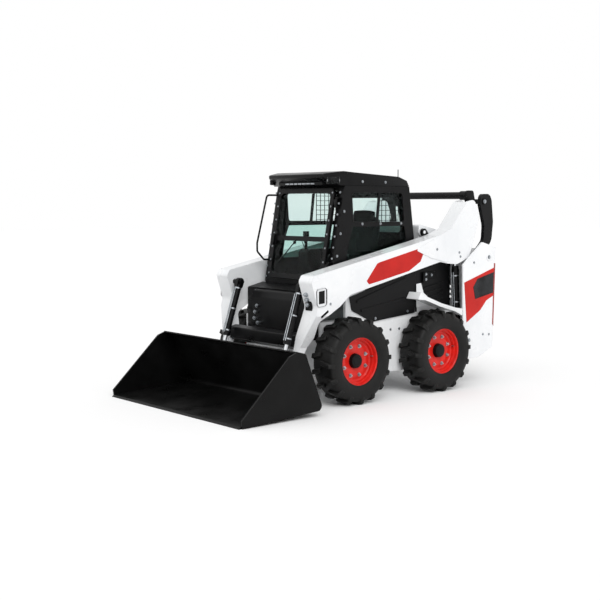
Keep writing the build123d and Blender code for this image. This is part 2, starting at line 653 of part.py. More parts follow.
with BuildPart() as door_frame:
    add(door_slab(door_thickness, 0, 0, 0, 60))
    add(door_slab(door_thickness + 1, -1, door_border, door_border, 45), mode=Mode.SUBTRACT)
    for share in (0.15, 0.85):
        start = (door_low[0] + (door_high[0] - door_low[0]) * share,
                 door_low[1] + (door_high[1] - door_low[1]) * share)
        y, z = at(start)
        with Locations((hinge_x - 22, y - door_thickness / 2, z)):
            Box(44, 20, 50)
        hinge_bar(share, 60, 14)
    for share in (0.15, 0.85):
        hinge_bar(share, 70, hinge_pin_radius + pin_gap, Mode.SUBTRACT)
    # Rail across the middle, in front of the glass, and the latch at the free edge
    with BuildSketch(door_leaf.offset(17.2)) as rail:
        with Locations((0, -46)):
            Rectangle(2 * (door_half_width - 10), 44)
        with Locations((-door_half_width + 40, -46)):
            Rectangle(60, 130)
    extrude(rail.sketch, amount=door_thickness - 17.2)
    with BuildSketch(door_leaf.offset(door_thickness - 1)) as latch:
        with Locations((-door_half_width + 34, -60)):
            RectangleRounded(40, 110, 12)
    extrude(latch.sketch, amount=26)
write(door_frame, "door_frame")

with BuildPart() as door_glass:
    add(door_slab(17, 11, door_border + 0.2, door_border + 0.2, 44.8))
write(door_glass, "door_glass")

# Hinge pins on the left front pillar
with BuildPart() as door_hinges:
    for share in (0.15, 0.85):
        hinge_bar(share, 96, hinge_pin_radius)
        for end in (-1, 1):
            spot = share + end * 42 / 847
            start = (door_low[0] + (door_high[0] - door_low[0]) * spot,
                     door_low[1] + (door_high[1] - door_low[1]) * spot)
            y, z = at(start)
            with Locations((hinge_x + 8, y - 5.15, z)):
                Box(36, 35.7, 10)
write(door_hinges, "door_hinges")
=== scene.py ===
import json
from math import atan2, cos, pi, radians, sin

import bmesh
import bpy
from mathutils import Matrix, Vector


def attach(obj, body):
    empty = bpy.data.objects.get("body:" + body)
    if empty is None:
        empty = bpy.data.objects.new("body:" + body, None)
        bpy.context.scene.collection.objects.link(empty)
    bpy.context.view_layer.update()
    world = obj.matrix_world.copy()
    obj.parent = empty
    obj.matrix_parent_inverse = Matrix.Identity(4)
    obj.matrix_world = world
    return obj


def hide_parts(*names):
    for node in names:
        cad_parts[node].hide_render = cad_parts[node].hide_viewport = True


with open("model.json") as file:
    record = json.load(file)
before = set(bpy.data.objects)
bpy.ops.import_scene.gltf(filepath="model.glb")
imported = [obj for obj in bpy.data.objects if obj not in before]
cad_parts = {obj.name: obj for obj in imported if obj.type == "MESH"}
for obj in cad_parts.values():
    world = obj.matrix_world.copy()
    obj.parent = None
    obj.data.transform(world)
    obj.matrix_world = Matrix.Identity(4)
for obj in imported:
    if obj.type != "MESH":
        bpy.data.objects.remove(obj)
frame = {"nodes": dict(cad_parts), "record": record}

bl_info = {
    "name": "Skid steer loader",
    "version": (1, 0, 0),
    "blender": (4, 5, 0),
    "location": "View3D > Sidebar > Loader",
    "description": "Finishes the pieces of a compact wheeled loader around its CAD frame",
    "category": "Object",
}

# Lengths are in millimetres until new_piece turns them into metres
# The properties, the sizes of the seat pads and the stage are in metres from the start
# A side-view place is (distance behind the front axle, height), as in the part's source
METRE = 1000.0
FRONT_AXLE = -225.0
SIDES = (-1, 1)

# Outer faces of the CAD pieces that carry the made ones, as distances from the middle
ARM_FACE = 692.0
TOWER_FACE = 722.0
CAB_FACE = 475.0
TUB_FACE = 545.0
PANEL_FACE = 560.0
HOOD_FACE = 460.0


def linear(hex_colour):
    """Linear RGBA of an sRGB hex colour."""
    values = [int(hex_colour[i:i + 2], 16) / 255 for i in (1, 3, 5)]
    return tuple(v / 12.92 if v <= 0.04045 else ((v + 0.055) / 1.055) ** 2.4 for v in values) + (1.0,)


def spot(x, back, up):
    """Point from a distance to the left and a side-view place."""
    return Vector((x, back + FRONT_AXLE, up))


class LoaderLook(bpy.types.PropertyGroup):
    """Sizes and colours that a user would change."""
    paint_white: bpy.props.StringProperty(
        name="White paint", description="Body panels and arms", default="#EEEFF0")
    paint_black: bpy.props.StringProperty(
        name="Black paint", description="Cab, links and bucket", default="#070708")
    rim_red: bpy.props.StringProperty(
        name="Rim red", description="Wheels", default="#DB241B")
    badge_red: bpy.props.StringProperty(
        name="Badge red", description="Stripes on arm and tail", default="#C6231C")
    glass_tint: bpy.props.StringProperty(
        name="Glass tint", description="Cab glazing", default="#EEF7F5")
    lug_bevel: bpy.props.FloatProperty(
        name="Lug bevel", description="Rounding of the tyre lugs' edges", default=0.004, unit="LENGTH")
    bolt_size: bpy.props.FloatProperty(
        name="Bolt size", description="Half width of a panel bolt's head", default=0.009, unit="LENGTH")


# Materials

MATERIALS = {}
MIX_LIGHT = 6
MIX_DARK = 7
MIX_RESULT = 2


def node(tree, kind, settings=None, links=()):
    """Adds a node with its settings and links; a link is (input, node, output)."""
    made = tree.nodes.new(kind)
    for key, value in (settings or {}).items():
        if key in made.inputs:
            made.inputs[key].default_value = value
        else:
            setattr(made, key, value)
    for target, source, output in links:
        tree.links.new(source.outputs[output], made.inputs[target])
    return made


def new_material(name):
    """Material with an empty tree, kept under its name, and its texture coordinates."""
    made = bpy.data.materials.new(name)
    made.use_nodes = True
    made.node_tree.nodes.clear()
    MATERIALS[name] = made
    return made.node_tree, node(made.node_tree, "ShaderNodeTexCoord")


def two_shades(tree, factor, output, light, dark):
    """Colour between two shades, by a factor."""
    made = node(tree, "ShaderNodeMix", {"data_type": "RGBA"}, [("Factor", factor, output)])
    made.inputs[MIX_LIGHT].default_value = linear(light)
    made.inputs[MIX_DARK].default_value = linear(dark)
    return made


def finish_material(name, light, dark, grain, patch, rough, bump, metallic=0.0, coat=0.0, edge=0.0,
                    rough_spread=0.08, sheen=0.0, specular=0.5):
    """Surface whose colour and gloss drift in patches, with a fine grain in relief and rounded edges."""
    tree, place = new_material(name)
    patches = node(tree, "ShaderNodeTexNoise", {"Scale": METRE / patch, "Detail": 4.0, "Roughness": 0.6},
                   [("Vector", place, "Object")])
    grains = node(tree, "ShaderNodeTexNoise", {"Scale": METRE / grain, "Detail": 3.0, "Roughness": 0.55},
                  [("Vector", place, "Object")])
    shade = node(tree, "ShaderNodeMapRange", {"From Min": 0.35, "From Max": 0.65},
                 [("Value", patches, "Fac")])
    colour = two_shades(tree, shade, "Result", light, dark)
    gloss = node(tree, "ShaderNodeMapRange",
                 {"From Min": 0.3, "From Max": 0.7, "To Min": max(rough - rough_spread, 0.02),
                  "To Max": rough + rough_spread}, [("Value", patches, "Fac")])
    relief = node(tree, "ShaderNodeBump", {"Strength": bump, "Distance": 0.001},
                  [("Height", grains, "Fac")])
    if edge:
        rounded = node(tree, "ShaderNodeBevel", {"samples": 3, "Radius": edge / METRE})
        tree.links.new(rounded.outputs["Normal"], relief.inputs["Normal"])
    surface = node(tree, "ShaderNodeBsdfPrincipled",
                   {"Metallic": metallic, "Coat Weight": coat, "Coat Roughness": 0.08,
                    "Sheen Weight": sheen, "Specular IOR Level": specular},
                   [("Roughness", gloss, "Result"), ("Normal", relief, "Normal"),
                    ("Base Color", colour, MIX_RESULT)])
    node(tree, "ShaderNodeOutputMaterial", links=[("Surface", surface, "BSDF")])


def glass_material(name, tint, tint_deep, rough):
    """Thin toughened glass: clear and tinted, with a faint film of dust that dulls it in patches."""
    tree, place = new_material(name)
    film = node(tree, "ShaderNodeTexNoise", {"Scale": METRE / 240, "Detail": 5.0},
                [("Vector", place, "Object")])
    dull = node(tree, "ShaderNodeMapRange",
                {"From Min": 0.4, "From Max": 0.8, "To Min": rough, "To Max": rough + 0.05},
                [("Value", film, "Fac")])
    shade = two_shades(tree, film, "Fac", tint, tint_deep)
    surface = node(tree, "ShaderNodeBsdfPrincipled", {"Transmission Weight": 1.0, "IOR": 1.14},
                   [("Roughness", dull, "Result"), ("Base Color", shade, MIX_RESULT)])
    node(tree, "ShaderNodeOutputMaterial", links=[("Surface", surface, "BSDF")])


def make_materials(look):
    """Makes all finishes, each named for what the real one is."""
    # Baked enamel on sheet steel: even and glossy, with a faint orange peel about 2 mm across
    finish_material("white_enamel", look.paint_white, "#E4E6E8", grain=2.2, patch=420, rough=0.28,
                    bump=0.05, coat=0.3, edge=4)
    # Black powder coat on tube and plate: satin, with a fine pebble of 1.5 mm
    finish_material("black_powder_coat", look.paint_black, "#0C0C0D", grain=1.5, patch=180, rough=0.30,
                    bump=0.12, edge=4, specular=0.16)
    # Black enamel on the bucket's plate: deeper, with dust lying in patches
    finish_material("bucket_enamel", "#060606", "#0D0D0D", grain=3.0, patch=260, rough=0.34,
                    bump=0.10, edge=4, specular=0.14)
    # Moulded ABS panels: matt with a leather grain of 2.5 mm
    finish_material("moulded_abs", "#0A0A0B", "#101011", grain=2.5, patch=150, rough=0.42,
                    bump=0.3, edge=3, specular=0.16)
    # Cast iron: dull and gritty
    finish_material("cast_iron", "#3A3B3D", "#2A2B2D", grain=4.0, patch=90, rough=0.62, bump=0.4)
    # Zinc-plated steel of bolts and fittings: pale and slightly streaked
    finish_material("zinc_steel", "#B9BDC1", "#8F9498", grain=1.0, patch=30, rough=0.3, bump=0.1,
                    metallic=1.0)
    # Hard chrome on the rods: almost a mirror
    finish_material("hard_chrome", "#D8DADC", "#C4C7CA", grain=0.8, patch=60, rough=0.1, bump=0.02,
                    metallic=1.0, rough_spread=0.04)
    # Gloss enamel on the rims, with dust in patches
    finish_material("rim_enamel", look.rim_red, "#C41D16", grain=2.0, patch=90, rough=0.34, bump=0.06,
                    coat=0.15, specular=0.25)
    # Vinyl stripes under clear film
    finish_material("red_vinyl", look.badge_red, "#B01C17", grain=1.2, patch=300, rough=0.34, bump=0.03,
                    coat=0.1, specular=0.15)
    finish_material("dark_vinyl", "#2B2D30", "#0D0E0F", grain=1.2, patch=160, rough=0.3, bump=0.03,
                    specular=0.2)
    # Tyre rubber: matt, carbon black, greyed by dust on the tread
    finish_material("tyre_rubber", "#0B0B0B", "#141413", grain=3.0, patch=60, rough=0.55, bump=0.35,
                    specular=0.22)
    # Woven seat cloth: matt with a 3 mm weave
    finish_material("seat_cloth", "#131417", "#0C0D0E", grain=3.0, patch=40, rough=0.85, bump=0.7,
                    sheen=0.1, specular=0.2)
    # Red acrylic of the tail lamps
    finish_material("red_acrylic", "#A3120E", "#7E0D0A", grain=6.0, patch=40, rough=0.15, bump=0.2,
                    coat=0.6)
    glass_material("tinted_glass", look.glass_tint, "#E3F0EE", rough=0.01)
    # The lower side panes are darker: the same glass with its tint deepened as painted shade, for the
    # shaded arm and the dark cab seen through them
    glass_material("tint_and_shade_glass", "#C4E0DA", "#B4D6CF", rough=0.02)
    glass_material("lamp_lens", "#F4F7F8", "#E3E8EA", rough=0.03)


SLOT_FINISH = {
    "body_white": "white_enamel", "machine_black": "black_powder_coat", "cab_black": "black_powder_coat",
    "trim_black": "moulded_abs", "bucket_black": "bucket_enamel", "engine_grey": "cast_iron",
    "bare_steel": "zinc_steel", "rod_chrome": "hard_chrome", "tinted_glass": "tinted_glass",
    "lamp_glass": "lamp_lens", "lamp_red": "red_acrylic", "seat_fabric": "seat_cloth",
    "tyre_rubber": "tyre_rubber", "rim_red": "rim_enamel",
}
# Nodes whose finish differs from the rest of their slot
# The lower side panels take the glass whose deeper tint is painted shade
NODE_FINISH = {"arm_cross_member": "black_powder_coat", "lower_side_panels": "tint_and_shade_glass"}


def dress_nodes():
    """Gives every CAD node the finish of its slot."""
    slots = {part["node"]: part["material_slot"] for part in frame["record"]["subparts"]}
    for name, obj in frame["nodes"].items():
        finish = MATERIALS[NODE_FINISH.get(name, SLOT_FINISH[slots[name]])]
        if not obj.material_slots:
            obj.data.materials.append(finish)
        for held in obj.material_slots:
            held.material = finish


# Shapes

FLAT_ANGLE = 35.0
WELD = 0.01
WASHER_WIDTH = 1.45
WASHER_RIM = 1.4
WASHER_SHARE = 0.24
HEAD_START = 0.2
HEAD_TAPER = 0.94
# Half width and height of each kind of bolt
PILLAR_BOLT = (7.0, 6.0)
DOOR_BOLT = (6.0, 5.0)
COVER_BOLT = (9.0, 7.0)
VALVE_BOLT = (9.0, 8.0)
COUPLER_NUT = (13.0, 12.0)
OUTWARD = (1, 0, 0)


def new_piece(name, mesh, finish, body, smooth_angle=FLAT_ANGLE, unit=METRE):
    """Object in metres from a bmesh with that many units to a metre, smooth up to an angle, on a body."""
    bmesh.ops.scale(mesh, vec=(1 / unit, 1 / unit, 1 / unit), verts=mesh.verts)
    bmesh.ops.recalc_face_normals(mesh, faces=mesh.faces)
    for edge in mesh.edges:
        edge.smooth = len(edge.link_faces) == 2 and edge.calc_face_angle(0.0) < radians(smooth_angle)
    for face in mesh.faces:
        face.smooth = True
    data = bpy.data.meshes.new(name)
    mesh.to_mesh(data)
    mesh.free()
    data.materials.append(MATERIALS[finish])
    obj = bpy.data.objects.new(name, data)
    bpy.context.scene.collection.objects.link(obj)
    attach(obj, body)
    return obj


def soften(mesh, edges, width, segments=2):
    """Rounds edges."""
    bmesh.ops.bevel(mesh, geom=list(edges), offset=width, offset_type="OFFSET", affect="EDGES",
                    segments=segments, profile=0.5, material=-1, clamp_overlap=True)


def edges_at(verts):
    """Edges that meet any of the corners."""
    return {edge for vert in verts for edge in vert.link_edges}


def corners(made):
    """Corners among the items that an operator made."""
    return [item for item in made["geom"] if isinstance(item, bmesh.types.BMVert)]


def block(mesh, centre, size, turn=None, bevel=0.0):
    """Box with rounded edges."""
    turn = turn or Matrix.Identity(4)
    shape = Matrix.Translation(centre) @ turn @ Matrix.Diagonal((*size, 1))
    made = bmesh.ops.create_cube(mesh, size=1.0, matrix=shape)
    if bevel:
        soften(mesh, edges_at(made["verts"]), bevel)


def bar(mesh, start, end, radius, sides=20, end_radius=None):
    """Bar between two points, round or with a few flats, tapered if it has an end radius."""
    run = end - start
    turn = run.to_track_quat("Z", "Y").to_matrix().to_4x4()
    shape = Matrix.Translation((start + end) / 2) @ turn
    bmesh.ops.create_cone(mesh, cap_ends=True, segments=sides, radius1=radius,
                          radius2=end_radius or radius, depth=run.length, matrix=shape)


def hex_bolt(mesh, foot, axis, radius, height):
    """Hexagon head on a washer."""
    rise = Vector(axis).normalized() * height
    bar(mesh, foot, foot + rise * WASHER_SHARE, radius * WASHER_WIDTH, 20, radius * WASHER_RIM)
    bar(mesh, foot + rise * HEAD_START, foot + rise, radius, 6, radius * HEAD_TAPER)


def side_face(mesh, outline, x):
    """Face from a side-view outline, at a distance from the middle."""
    return mesh.faces.new([mesh.verts.new(spot(x, *place)) for place in outline])


def grow(mesh, faces, way):
    """Extrudes faces along a vector and gives the new corners."""
    moved = corners(bmesh.ops.extrude_face_region(mesh, geom=faces))
    bmesh.ops.translate(mesh, verts=moved, vec=way)
    return moved


def plate(mesh, outline, low_x, high_x, bevel=0.0):
    """Plate from a side-view outline, between two distances from the middle."""
    moved = grow(mesh, [side_face(mesh, outline, low_x)], (high_x - low_x, 0, 0))
    if bevel:
        soften(mesh, edges_at(moved), bevel, 1)


def border(mesh, outline, low_x, high_x, width):
    """Flat ring inside a side-view outline, between two distances from the middle."""
    face = side_face(mesh, outline, low_x)
    ring = bmesh.ops.inset_region(mesh, faces=[face], thickness=width, use_boundary=True,
                                  use_even_offset=True)["faces"]
    bmesh.ops.delete(mesh, geom=[face], context="FACES_ONLY")
    grow(mesh, ring, (high_x - low_x, 0, 0))


def turned(profile, steps):
    """Mesh of a solid turned about the X axis from (distance along it, radius) points."""
    mesh = bmesh.new()
    verts = [mesh.verts.new((x, 0, radius)) for x, radius in profile]
    edges = [mesh.edges.new(pair) for pair in zip(verts, verts[1:])]
    bmesh.ops.spin(mesh, geom=verts + edges, cent=(0, 0, 0), axis=(1, 0, 0), angle=2 * pi, steps=steps,
                   use_merge=True)
    bmesh.ops.remove_doubles(mesh, verts=mesh.verts, dist=WELD)
    return mesh


def mirrored(mesh):
    """Adds the other side's copy of all that is in the mesh."""
    twin = bmesh.ops.duplicate(mesh, geom=mesh.verts[:] + mesh.edges[:] + mesh.faces[:])
    bmesh.ops.scale(mesh, vec=(-1, 1, 1), verts=corners(twin))


# Wheels

WHEEL_BACKS = {"front": 0.0, "rear": 1075.0}
WHEEL_MIDDLE = 697.5
TYRE_RADIUS = 385.0
TYRE_HALF = 132.5
TURN_STEPS = 96
HUB_STEPS = 64
TREAD_ANGLE = 40.0
RIM_ANGLE = 30.0
TYRE_PROFILE = [(104, 211), (112, 214), (113, 226), (121, 236), (128, 262), (131, 300), (129, 322),
                (122, 344), (108, 356), (70, 359), (30, 360), (0, 360)]
LUG_COUNT = 16
LUG_FACE = [(5, 350), (5, 384), (60, 385), (106, 384), (117, 377), (130.5, 350), (131.5, 316),
            (119, 308), (106, 340)]
LUG_LEAD = 5.0
LUG_SLANT = 30.0
LUG_WIDTH = 41.0
RIM_PROFILE = [(33, 0), (33, 108), (35.5, 114), (35.5, 156), (33, 162), (33, 172), (36, 180), (41, 185),
               (64, 186), (69, 189), (70, 198), (74, 200), (98, 202), (105, 207), (107, 215),
               (109, 217), (111, 219), (110.5, 223), (108, 224), (104, 223), (103, 219),
               (101, 209.5), (60, 208.5), (-60, 208.5), (-101, 209.5), (-103, 219), (-104, 223),
               (-108, 224), (-111, 222), (-110, 214), (-104, 202), (20, 199), (21, 190), (21, 90),
               (18, 85), (-58, 85), (-60, 82), (-60, 0)]
HUB_PROFILE = [(32, 67), (38, 67), (42, 64), (62, 63), (68, 59), (71, 50), (71, 40), (74, 38), (75, 0)]
STUD_CIRCLE = 137.0
STUD_COUNT = 8
STUD_FACE = 35.5
STUD_LENGTH = 24.0
STUD_RADIUS = 6.0
NUT_RADIUS = 12.5
NUT_HEIGHT = 16.0
VALVE_FOOT = Vector((50, 176, 30))
VALVE_TIP = Vector((80, 180, 31))
VALVE_RADIUS = 5.0


def tyre_mesh(look):
    """One tyre at the origin: carcass and two staggered rows of slanted lugs."""
    whole = TYRE_PROFILE + [(-x, radius) for x, radius in reversed(TYRE_PROFILE[:-1])]
    mesh = turned(whole + [whole[0]], TURN_STEPS)
    lug = bmesh.new()
    for side in SIDES:
        low = [lug.verts.new((side * x, -LUG_LEAD - LUG_SLANT * x / TYRE_HALF, radius))
               for x, radius in LUG_FACE]
        high = grow(lug, [lug.faces.new(low)], (0, LUG_WIDTH, 0))
        if side < 0:
            half_pitch = Matrix.Rotation(pi / LUG_COUNT, 3, "X")
            bmesh.ops.rotate(lug, verts=low + high, cent=(0, 0, 0), matrix=half_pitch)
    soften(lug, lug.edges[:], look.lug_bevel * METRE, 1)
    pair = bpy.data.meshes.new("lug_pair")
    lug.to_mesh(pair)
    lug.free()
    for _ in range(LUG_COUNT):
        pair.transform(Matrix.Rotation(2 * pi / LUG_COUNT, 4, "X"))
        mesh.from_mesh(pair)
    bpy.data.meshes.remove(pair)
    return mesh


def nuts_mesh():
    """Studs with their nuts on the stud circle, and the tyre's valve."""
    mesh = bmesh.new()
    for stud in range(STUD_COUNT):
        turn = 2 * pi * (stud + 0.5) / STUD_COUNT
        foot = Vector((STUD_FACE, STUD_CIRCLE * cos(turn), STUD_CIRCLE * sin(turn)))
        hex_bolt(mesh, foot, OUTWARD, NUT_RADIUS, NUT_HEIGHT)
        bar(mesh, foot, foot + Vector((STUD_LENGTH, 0, 0)), STUD_RADIUS, 12)
    bar(mesh, VALVE_FOOT, VALVE_TIP, VALVE_RADIUS, 12)
    return mesh


def at_wheel(mesh, end, side):
    """Moves a wheel's mesh from the origin to its hub."""
    if side < 0:
        bmesh.ops.rotate(mesh, verts=mesh.verts, cent=(0, 0, 0), matrix=Matrix.Rotation(pi, 3, "Z"))
    hub = spot(side * WHEEL_MIDDLE, WHEEL_BACKS[end], TYRE_RADIUS)
    bmesh.ops.translate(mesh, verts=mesh.verts, vec=hub)


def wheels(look):
    """Tyres, rims, hub caps and wheel nuts on the four hubs."""
    for end in WHEEL_BACKS:
        for side, hand in ((1, "left"), (-1, "right")):
            place = f"{end}_{hand}"
            made = (
                ("tread", tyre_mesh(look), "tyre_rubber", "tyre_rubber", TREAD_ANGLE, "tyre"),
                ("rim", turned(RIM_PROFILE, TURN_STEPS), "rim_enamel", "rim_red", RIM_ANGLE, "wheel"),
                ("hub_cap", turned(HUB_PROFILE, HUB_STEPS), "black_powder_coat", "machine_black",
                 FLAT_ANGLE, None),
                ("wheel_nuts", nuts_mesh(), "zinc_steel", "bare_steel", FLAT_ANGLE, None),
            )
            for name, mesh, finish, slot, smooth_angle, stands_for in made:
                at_wheel(mesh, end, side)
                piece = new_piece(f"{name}_{place}", mesh, finish, f"wheel_{place}", smooth_angle)
                if stands_for:
                    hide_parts(f"{stands_for}_{place}")


# Stripes, bolts and pin caps

# A flat piece reaches this far into what it lies on
SUNK = 0.3
ARM_STRIPE = [(180, 1080), (210, 1050), (310, 1068), (720, 1150), (870, 1232), (922, 1328), (890, 1362),
              (590, 1297), (340, 1243), (310, 1232)]
TAIL_STRIPE = [(1450, 1010), (1680, 1078), (1888, 1140), (1880, 862), (1780, 820), (1690, 730),
               (1490, 620)]
TAIL_INSET = [(1580, 960), (1640, 1038), (1884, 1096), (1879, 892), (1610, 842)]
TAIL_EDGE = [(1872, 580), (1890, 560), (1907, 1180), (1888, 1184)]
# Name: outline, inner and outer face, rounding, finish, body and slot
STRIPES = {
    "arm_stripes": (ARM_STRIPE, ARM_FACE - SUNK, ARM_FACE + 1.6, 0.6,
                    "red_vinyl", "lift_arms", "rim_red"),
    "tail_stripes": (TAIL_STRIPE, TOWER_FACE - SUNK, TOWER_FACE + 1.8, 0.6,
                     "red_vinyl", "frame", "rim_red"),
    "tail_insets": (TAIL_INSET, TOWER_FACE + 1.5, TOWER_FACE + 4.5, 1.5,
                    "dark_vinyl", "frame", "trim_black"),
    "tail_edge_strips": (TAIL_EDGE, TOWER_FACE - 21, TOWER_FACE + 2, 0.0,
                         "red_acrylic", "frame", "lamp_red"),
}
# Bolts as (distance from the middle, back, up)
BOLT_PLACES = {
    "frame": [(TOWER_FACE, 1590, 1199), (TOWER_FACE, 1735, 488), (TOWER_FACE, 1826, 481),
              (TUB_FACE, 743, 601), (TUB_FACE, 629, 601),
              (HOOD_FACE, 1110, 1520), (HOOD_FACE, 1500, 1440), (HOOD_FACE, 1780, 1370),
              (PANEL_FACE, 840, 760), (PANEL_FACE, 420, 720)],
    "lift_arms": [(ARM_FACE + 6, 1090, 1340), (ARM_FACE, 1409, 1302), (ARM_FACE, 1426, 1262),
                  (ARM_FACE, -250, 900)],
    "cab": [(CAB_FACE, 330, 1968), (CAB_FACE, 620, 1966), (CAB_FACE, 330, 1585), (CAB_FACE, 560, 1585),
            (CAB_FACE, 830, 1585), (CAB_FACE, 105, 1700), (CAB_FACE, 60, 1500), (CAB_FACE, 20, 1300)],
}
BOLT_HEIGHT_SHARE = 0.8
# Body, finish, slot and caps as (inner face, back, up, radius)
PIN_CAPS = (
    ("lift_arms", "black_powder_coat", "machine_black", [(ARM_FACE - 4, 1770, 1790, 34)]),
    ("frame", "white_enamel", "body_white", [(TOWER_FACE - 2, 1808, 1246, 36),
                                             (TOWER_FACE - 2, 1527, 445, 36)]),
)
CAP_THICK = Vector((6, 0, 0))
CAP_BOLT_RADIUS = 14.0
CAP_BOLT_HEIGHT = 9.0


def stripes():
    """Blank stripes on the arms and the tail, and the red strip on the tail's edge."""
    for name, (outline, low_x, high_x, bevel, finish, body, slot) in STRIPES.items():
        mesh = bmesh.new()
        plate(mesh, outline, low_x, high_x, bevel)
        mirrored(mesh)
        new_piece(name, mesh, finish, body)


def bolts(look):
    """Panel bolts where the photograph shows them."""
    size = look.bolt_size * METRE
    for body, places in BOLT_PLACES.items():
        mesh = bmesh.new()
        for x, back, up in places:
            hex_bolt(mesh, spot(x - SUNK, back, up), OUTWARD, size, size * BOLT_HEIGHT_SHARE)
        mirrored(mesh)
        new_piece(f"panel_bolts_{body}", mesh, "zinc_steel", body)


def pin_caps():
    """Round caps on the linkage's pins and the tower's bosses, with a bolt on each."""
    for body, finish, slot, places in PIN_CAPS:
        caps = bmesh.new()
        heads = bmesh.new()
        for x, back, up, radius in places:
            foot = spot(x, back, up)
            bar(caps, foot, foot + CAP_THICK, radius, 40)
            hex_bolt(heads, foot + CAP_THICK, OUTWARD, CAP_BOLT_RADIUS, CAP_BOLT_HEIGHT)
        mirrored(caps)
        mirrored(heads)
        new_piece(f"pin_caps_{body}", caps, finish, body)
        new_piece(f"pin_bolts_{body}", heads, "zinc_steel", body)


# Cab

SIDE_WINDOW = [(218, 1606), (200, 1845), (222, 1866), (815, 1866), (840, 1845), (865, 1625), (845, 1602)]
SEAL_WIDTH = 12.0
SEAL_SUNK = 4.0
SEAL_RISE = 3.0
FRONT_SILL = [(-50, 1082), (-40, 1082), (-40, 1012), (-50, 1012)]
SILL_HALF = 470.0
ROOF_OUTLINE = [(-75, 2002), (-78, 2030), (-60, 2038), (100, 2060), (220, 2052), (800, 2020), (905, 1985),
                (938, 1930.4), (60, 1930.4)]
ROOF_EDGE = 7.0
# The visor narrows to this half width in front of this place
VISOR_HALF = 383.0
VISOR_BACK = -20.0
LAMP_WAY = Vector((0.885, -0.465, 0.0))
LAMP_MIDDLE = (428, 14, 1976)
LAMP_BODY = (118, 64, 34)
LAMP_BODY_SHIFT = -8.0
LAMP_BODY_EDGE = 6.0
LAMP_LENS = (108, 56, 6)
LAMP_LENS_SHIFT = 12.0
LAMP_LENS_EDGE = 2.0
BOWL_SHIFT = 32.0
BOWL_FRONT = 8.5
BOWL_BACK = 1.0
BOWL_MOUTH = 26.0
BOWL_BOTTOM = 14.0
LIGHT_BAR_MIDDLE = (0, 20, 1952)
LIGHT_BAR_SIZE = (620, 70, 30)
STRIP_COUNT = 7
STRIP_PITCH = 60
STRIP_PLACE = (-17, 1950)
STRIP_SIZE = (50, 5, 12)
PILLAR_X = 455.0
PILLAR_LOW = (-57, 1080)
PILLAR_HIGH = (75, 1870)
PILLAR_BOLTS = 9
PILLAR_AXIS = (0, -1, 0.18)
GRAB_BAR = [spot(395, 150, 1840), spot(380, 190, 1660), spot(378, 290, 1610)]
GRAB_RADIUS = 12.0


def roof():
    """Roof with a visor that narrows to the front, lamps in its slanted corners, and the light bar."""
    mesh = bmesh.new()
    plate(mesh, ROOF_OUTLINE, -CAB_FACE, CAB_FACE)
    for vert in mesh.verts:
        if vert.co.y < FRONT_AXLE + VISOR_BACK:
            vert.co.x *= VISOR_HALF / CAB_FACE
    soften(mesh, mesh.edges[:], ROOF_EDGE)
    piece = new_piece("roof_shell", mesh, "black_powder_coat", "cab")
    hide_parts("cab_roof")
    housings = bmesh.new()
    lenses = bmesh.new()
    bowls = bmesh.new()
    for side in SIDES:
        way = Vector((LAMP_WAY.x * side, LAMP_WAY.y, 0))
        along = Vector((-LAMP_WAY.y * side, LAMP_WAY.x, 0))
        turn = way.to_track_quat("Z", "Y").to_matrix().to_4x4()
        x, back, up = LAMP_MIDDLE
        centre = spot(side * x, back, up)
        block(housings, centre + way * LAMP_BODY_SHIFT, LAMP_BODY, turn, LAMP_BODY_EDGE)
        block(lenses, centre + way * LAMP_LENS_SHIFT, LAMP_LENS, turn, LAMP_LENS_EDGE)
        for step in SIDES:
            middle = centre + along * BOWL_SHIFT * step
            bar(bowls, middle + way * BOWL_FRONT, middle + way * BOWL_BACK, BOWL_MOUTH, 28, BOWL_BOTTOM)
    new_piece("lamp_housings", housings, "moulded_abs", "cab")
    piece = new_piece("lamp_lenses", lenses, "lamp_lens", "cab")
    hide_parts("work_lamps")
    new_piece("lamp_bowls", bowls, "hard_chrome", "cab")
    mesh = bmesh.new()
    block(mesh, spot(*LIGHT_BAR_MIDDLE), LIGHT_BAR_SIZE, bevel=4.0)
    new_piece("light_bar", mesh, "moulded_abs", "cab")
    mesh = bmesh.new()
    for count in range(STRIP_COUNT):
        x = STRIP_PITCH * (count - STRIP_COUNT // 2)
        block(mesh, spot(x, *STRIP_PLACE), STRIP_SIZE, bevel=1.0)
    # The strips catch the light as bright metal
    new_piece("light_bar_lenses", mesh, "zinc_steel", "cab")


def cab_trim():
    """Window seals, front sill, roof with its lamps, pillar bolts and the inner grab bar."""
    mesh = bmesh.new()
    border(mesh, SIDE_WINDOW, CAB_FACE - SEAL_SUNK, CAB_FACE + SEAL_RISE, SEAL_WIDTH)
    mirrored(mesh)
    new_piece("window_seals", mesh, "moulded_abs", "cab")
    mesh = bmesh.new()
    plate(mesh, FRONT_SILL, -SILL_HALF, SILL_HALF)
    new_piece("cab_front_sill", mesh, "moulded_abs", "cab")
    roof()
    mesh = bmesh.new()
    for side in SIDES:
        low = spot(side * PILLAR_X, *PILLAR_LOW)
        high = spot(side * PILLAR_X, *PILLAR_HIGH)
        for count in range(PILLAR_BOLTS):
            hex_bolt(mesh, low.lerp(high, count / (PILLAR_BOLTS - 1)), PILLAR_AXIS, *PILLAR_BOLT)
    new_piece("pillar_bolts", mesh, "zinc_steel", "cab")
    mesh = bmesh.new()
    for start, end in zip(GRAB_BAR, GRAB_BAR[1:]):
        bar(mesh, start, end, GRAB_RADIUS)
    new_piece("inner_grab_bar", mesh, "black_powder_coat", "cab")


# Door

DOOR_LOW = (-64, 1072)
DOOR_RUN = 152.0
DOOR_RISE = 833.0
DOOR_LEAN = atan2(DOOR_RUN, DOOR_RISE)
DOOR_AXIS = (0, -cos(DOOR_LEAN), sin(DOOR_LEAN))
